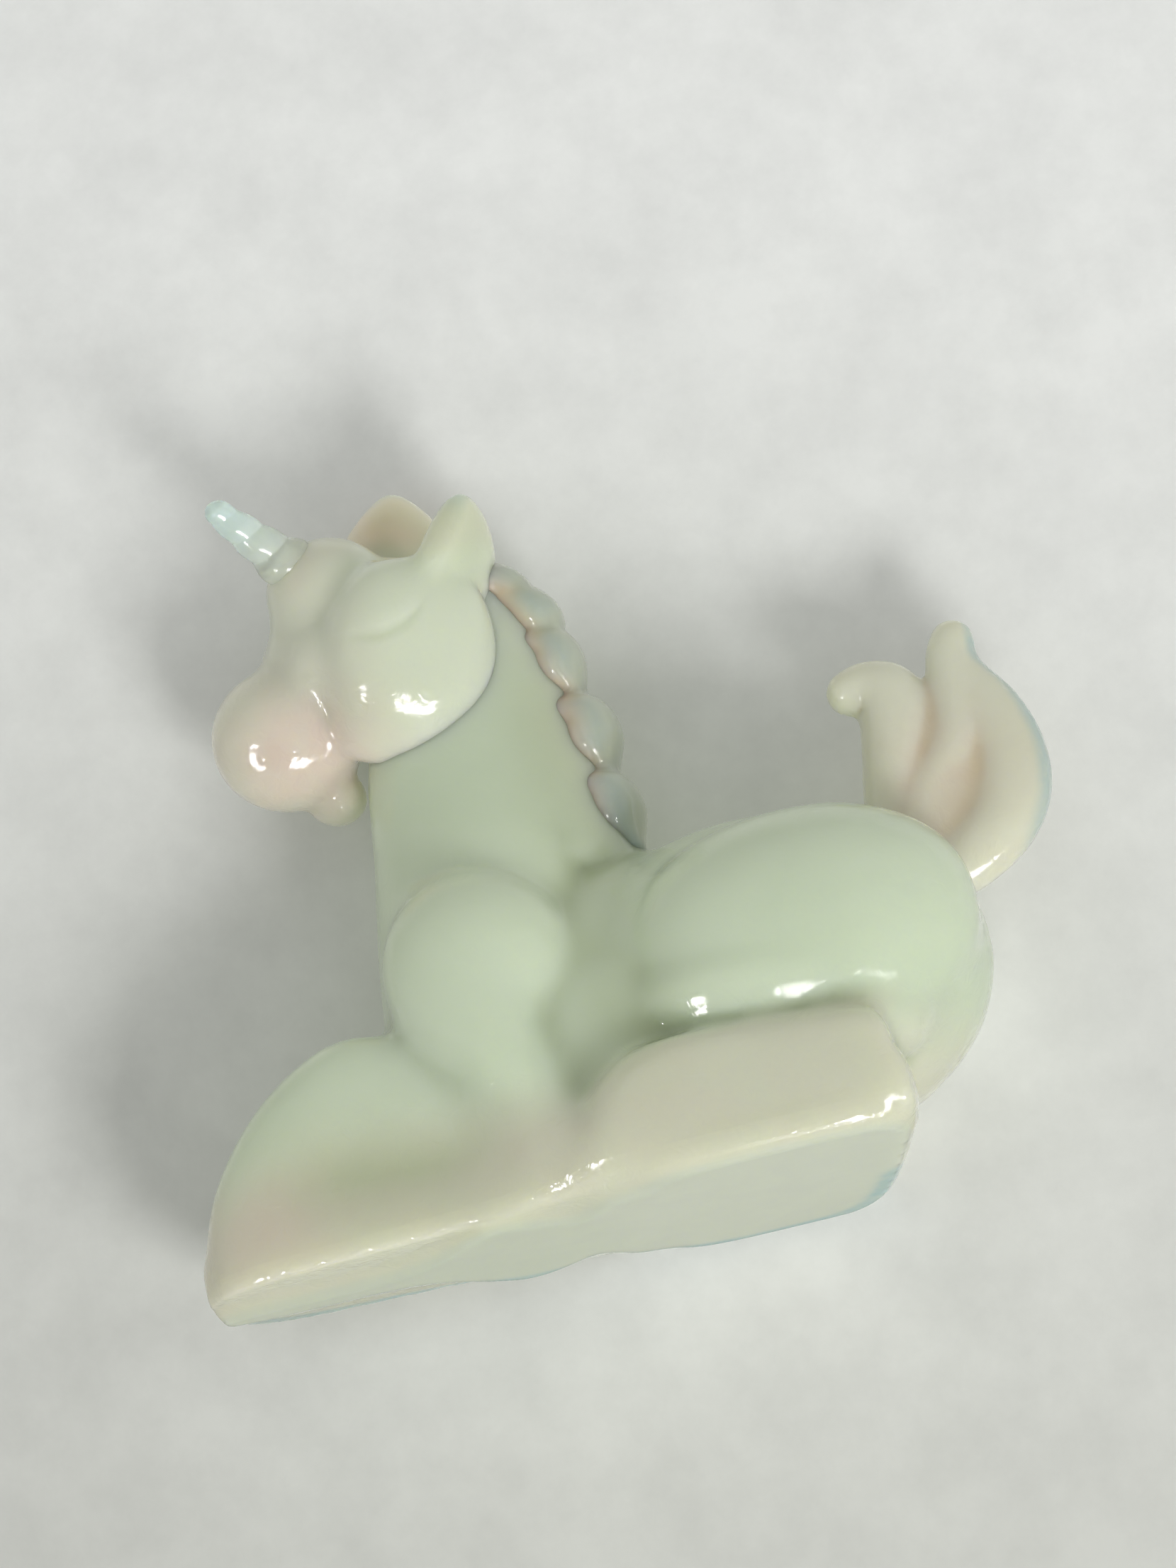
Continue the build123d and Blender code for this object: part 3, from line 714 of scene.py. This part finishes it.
def makeMane(shape):
    surfaces = [loftSurface(lock, cap=shape["cap"], rows=shape["rows"], columns=shape["columns"])
                for lock in shape["locks"]]
    mesh = fuseSurfaces("mane", surfaces, shape["cell"])
    points = soften(readPoints(mesh), readEdges(mesh), shape["softRounds"], 0.5)
    writePoints(mesh, points)
    hollow = hollowness(mesh, shape["hollowRounds"])
    line = np.array(shape["backLine"])
    root = fade(points[:, 0] - np.interp(points[:, 2], line[:, 0], line[:, 1]), *shape["rootFade"])
    # painted shade: the crease mask darkens the hollows between the locks
    writeMasks(
        mesh,
        warm=root,
        blush=root * areas(foldSides(points), shape["sideBlush"]),
        crease=shape["hollowShadeShare"] * fade(hollow, *shape["hollowShadeFade"]),
        thin=fade(-hollow, *shape["rimFade"]),
        chill=shape["chill"],
    )
    nodes = ["mane_lock_" + str(k + 1) for k in range(len(shape["locks"]))]
    addPiece("mane", mesh, opalGlass("maneOpal", shape["look"]), nodes)


makeMane(maneShape)


# Tail: a fan of three locks run together, the front one hooked over into a curl, with a web between them.
tailShape = dict(
    cell=0.26, softRounds=34, hollowRounds=170, cap=0.95, rows=70, columns=56,
    front=[(24.4, 0, 26.6, 2.3, 1.9), (25.2, 0, 30.0, 2.8, 2.3), (26.5, 0, 33.6, 3.0, 2.9),
           (27.4, 0, 36.8, 2.9, 3.2), (27.1, 0, 39.2, 2.7, 3.1), (25.6, 0, 40.4, 2.4, 2.3),
           (23.9, 0, 40.2, 2.2, 2.0)],
    middle=[(25.2, 0, 26.4, 2.3, 2.0), (29.2, 0, 30.8, 2.7, 2.4), (32.0, 0, 34.0, 2.8, 2.6),
            (32.9, 0, 37.6, 2.6, 2.6), (33.1, 0, 41.0, 2.3, 2.3), (33.6, 0, 42.6, 2.0, 2.0)],
    rear=[(26.8, 0, 22.6, 2.6, 2.8), (30.4, 0, 23.9, 2.8, 3.0), (33.5, 0, 26.0, 3.0, 3.3),
          (35.3, 0, 28.8, 3.0, 3.5), (35.8, 0, 32.0, 2.9, 3.3), (35.2, 0, 35.6, 2.6, 2.9),
          (34.2, 0, 38.6, 2.2, 2.1)],
    web=[(26.4, 0, 25.0, 2.1, 2.8), (29.4, 0, 28.4, 2.2, 4.0), (31.2, 0, 31.6, 2.2, 4.8),
         (31.0, 0, 35.0, 2.0, 3.8), (30.4, 0, 37.8, 1.5, 2.6)],
    heart=[(1.0, (29.5, 0, 30.5), (4.5, 9, 5.0))], warmShare=0.5,  # where the fan is warm
    blushShare=0.95, blushFade=(-0.5, 0.2), hollowShadeFade=(0.0, 0.4), rimShare=0.6, rimFade=(0.8, 1.5),
    rearRim=[(0.9, ("x", 31.0, 34.5))], rearFade=(0.45, 0.85), chill=[(0.3,), (0.7, ("z", 29.0, 25.5))],
    look=dict(opalLook, milk=tone(211, 212, 194), cloudy=tone(205, 204, 184), cream=tone(213, 210, 190),
              # deep is the colour of painted shade in the grooves
              pink=tone(207, 194, 174), deep=tone(200, 184, 150), rim=tone(172, 190, 186),
              cloudSize=0.12, glowDepth=3.4),
)


def makeTail(shape):
    surfaces = [loftSurface(shape[name], cap=shape["cap"], rows=shape["rows"], columns=shape["columns"])
                for name in ("front", "middle", "rear", "web")]
    mesh = fuseSurfaces("tail", surfaces, shape["cell"])
    points = soften(readPoints(mesh), readEdges(mesh), shape["softRounds"], 0.5)
    writePoints(mesh, points)
    hollow = hollowness(mesh, shape["hollowRounds"])
    heart = spots(points, shape["heart"])
    rearRim = fade(readNormals(mesh)[:, 0], *shape["rearFade"]) * areas(points, shape["rearRim"])
    # painted shade: the crease mask darkens the grooves between the locks
    writeMasks(
        mesh,
        warm=shape["warmShare"] * heart,
        blush=shape["blushShare"] * heart * fade(hollow, *shape["blushFade"]),
        crease=fade(hollow, *shape["hollowShadeFade"]),
        thin=rearRim + shape["rimShare"] * fade(-hollow, *shape["rimFade"]),
        chill=areas(points, shape["chill"]),
    )
    nodes = ["tail_lock_front", "tail_lock_middle", "tail_lock_rear"]
    addPiece("tail", mesh, opalGlass("tailOpal", shape["look"]), nodes)


makeTail(tailShape)


# Stage: a sheet of pale paper behind the ornament and a pale floor under it, each seen from its front only.
stageShape = dict(
    paperLow=(0, 16.6, 0), paperHigh=(0, 9.2, 55), paperReach=115.0, floorReach=900.0, floorDrop=0.05,
    lit=tone(243, 244, 241), dim=tone(204, 205, 199), lean=(0.225, 0, 0.974), lift=(-25.0, 95.0),
    fibre=0.9, fibreSpan=(0.32, 0.66), mottleSize=0.11, mottleDetail=9.0, mottleRoughness=0.66,
)


# Paper: painted light makes it paler towards the top of the sheet; it is mottled by its fibres and clear from
# behind.
def paperMaterial(name, shape):
    material, add, join, spread = startMaterial(name)
    place = add("TexCoord").outputs["Object"]
    height = add("VectorMath", operation="DOT_PRODUCT")
    height.inputs[1].default_value = shape["lean"]
    join(place, height.inputs[0])
    low, high = (level * mm for level in shape["lift"])
    # painted light: the wash runs from dim low on the sheet to lit at its top
    wash = add("Mix", data_type="RGBA")
    wash.inputs[6].default_value = shape["dim"]
    wash.inputs[7].default_value = shape["lit"]
    join(spread(height.outputs["Value"], low, high, kind="LINEAR"), wash.inputs[0])
    mottle = add("TexNoise")
    mottle.inputs["Scale"].default_value = shape["mottleSize"] / mm
    mottle.inputs["Detail"].default_value = shape["mottleDetail"]
    mottle.inputs["Roughness"].default_value = shape["mottleRoughness"]
    join(place, mottle.inputs["Vector"])
    pulp = add("Mix", data_type="RGBA", blend_type="MULTIPLY")
    pulp.inputs[0].default_value = 1.0
    join(wash.outputs[2], pulp.inputs[6])
    fibres = spread(mottle.outputs["Fac"], *shape["fibreSpan"], (shape["fibre"], 1.0), "LINEAR")
    join(fibres, pulp.inputs[7])
    sheet = add("BsdfDiffuse")
    join(pulp.outputs[2], sheet.inputs["Color"])
    either = add("MixShader")
    join(add("NewGeometry").outputs["Backfacing"], either.inputs["Fac"])
    join(sheet.outputs[0], either.inputs[1])
    join(add("BsdfTransparent").outputs[0], either.inputs[2])
    join(either.outputs[0], add("OutputMaterial").inputs["Surface"])
    return material


# A flat sheet: its middle and two side vectors, four corners.
def addSheet(name, middle, first, second, material):
    corners = np.array([middle - first - second, middle + first - second,
                        middle + first + second, middle - first + second])
    mesh = bpy.data.meshes.new(name)
    mesh.from_pydata(corners * mm, [], [(0, 1, 2, 3)])
    mesh.materials.append(material)
    sheet = bpy.data.objects.new(name, mesh)
    bpy.context.scene.collection.objects.link(sheet)
    sheet.visible_shadow = False
    sheet.visible_diffuse = False
    sheet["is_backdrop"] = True


def makeStage(shape):
    low, high = np.array(shape["paperLow"], float), np.array(shape["paperHigh"], float)
    rise = (high - low) / np.linalg.norm(high - low)
    across = np.array([1.0, 0, 0])
    material = paperMaterial("paper", shape)
    reach = shape["paperReach"]
    addSheet("paperSheet", (low + high) / 2, across * reach, rise * reach, material)
    reach = shape["floorReach"]
    floor = np.array([0, 0, -shape["floorDrop"]])
    addSheet("floorSheet", floor, across * reach, np.array([0, reach, 0.0]), material)
    print("stage: paper and floor")


makeStage(stageShape)


# Camera: where the photograph was taken from, as angles round the ornament and a roll.
cameraShape = dict(aim=(0.88, 0, 38.0), azimuth=3.0, elevation=-17.0, roll=-13.0, distance=400.0,
                   lens=108.72, sensor=36.0, clip=(0.01, 10.0))


# The camera's right, up and back: back comes from the two angles, and the other two are turned by the roll.
def cameraAxes(shape):
    a, e, r = np.radians([shape["azimuth"], shape["elevation"], shape["roll"]])
    back = np.array([np.sin(a) * np.cos(e), -np.cos(a) * np.cos(e), np.sin(e)])
    level = np.cross(-back, [0, 0, 1.0])
    level /= np.linalg.norm(level)
    upright = np.cross(level, -back)
    return np.cos(r) * level + np.sin(r) * upright, np.cos(r) * upright - np.sin(r) * level, back


def placeMatrix(right, up, back, place):
    matrix = np.eye(4)
    matrix[:3, :3] = np.stack([right, up, back], -1)
    matrix[:3, 3] = place
    return Matrix(matrix.tolist())


def makeCamera(shape):
    right, up, back = cameraAxes(shape)
    data = bpy.data.cameras.new("camera")
    data.lens = shape["lens"]
    data.sensor_width = shape["sensor"]
    data.clip_start, data.clip_end = shape["clip"]
    camera = bpy.data.objects.new("camera", data)
    bpy.context.scene.collection.objects.link(camera)
    place = (np.array(shape["aim"]) + back * shape["distance"]) * mm
    camera.matrix_world = placeMatrix(right, up, back, place)
    bpy.context.scene.camera = camera
    print("camera: at", np.round(place, 4))


makeCamera(cameraShape)


# Lamps: each at shares of right, up and towards the camera, with its two sides in millimetres and its watts.
# A lamp either lights the glass or glints in it.
lampShape = dict(
    reach=480.0,
    lights=dict(
        keyLamp=((0.4, -0.46, 0.8), (140, 140), 1.12),
        topFill=((-0.3, 0.85, 0.45), (300, 300), 0.12),
        backFill=((0.5, 0.6, -0.8), (300, 300), 0.5),
    ),
    glints=dict(
        frontGlint=((0.4, -0.6, 0.7), (360, 120), 22.0),
        sideGlint=((-0.6, -0.42, 0.68), (80, 70), 2.8),
    ),
    sky=tone(240, 241, 240), skyStrength=0.65,
)


def addLamp(name, shares, sides, watts, glints, reach):
    axes = np.stack(cameraAxes(cameraShape))
    back = np.array(shares) @ axes
    back /= np.linalg.norm(back)
    right = np.cross(axes[1], back)
    right /= np.linalg.norm(right)
    data = bpy.data.lights.new(name, "AREA")
    data.shape = "RECTANGLE"
    data.size, data.size_y = sides[0] * mm, sides[1] * mm
    data.energy = watts
    lamp = bpy.data.objects.new(name, data)
    bpy.context.scene.collection.objects.link(lamp)
    lamp.visible_glossy = glints
    lamp.visible_diffuse = not glints
    lamp.visible_transmission = not glints
    place = np.array(cameraShape["aim"]) + back * reach
    lamp.matrix_world = placeMatrix(right, np.cross(back, right), back, place * mm)


def makeLamps(shape):
    for kind in ("lights", "glints"):
        for name, lamp in shape[kind].items():
            addLamp(name, *lamp, kind == "glints", shape["reach"])
    world = bpy.data.worlds.new("studio")
    world.use_nodes = True
    sky = world.node_tree.nodes["Background"]
    sky.inputs["Color"].default_value = shape["sky"]
    sky.inputs["Strength"].default_value = shape["skyStrength"]
    bpy.context.scene.world = world
    print("lamps:", len(shape["lights"]) + len(shape["glints"]))


makeLamps(lampShape)

bpy.context.scene.view_settings.view_transform = "Standard"
bpy.context.view_layer.update()
newLow, newHigh = (np.array(corner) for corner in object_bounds())
spareLow, spareHigh = (newLow - cadLow) / mm, (cadHigh - newHigh) / mm
print("size: spare below", np.round(spareLow, 2), "and above", np.round(spareHigh, 2), "mm")
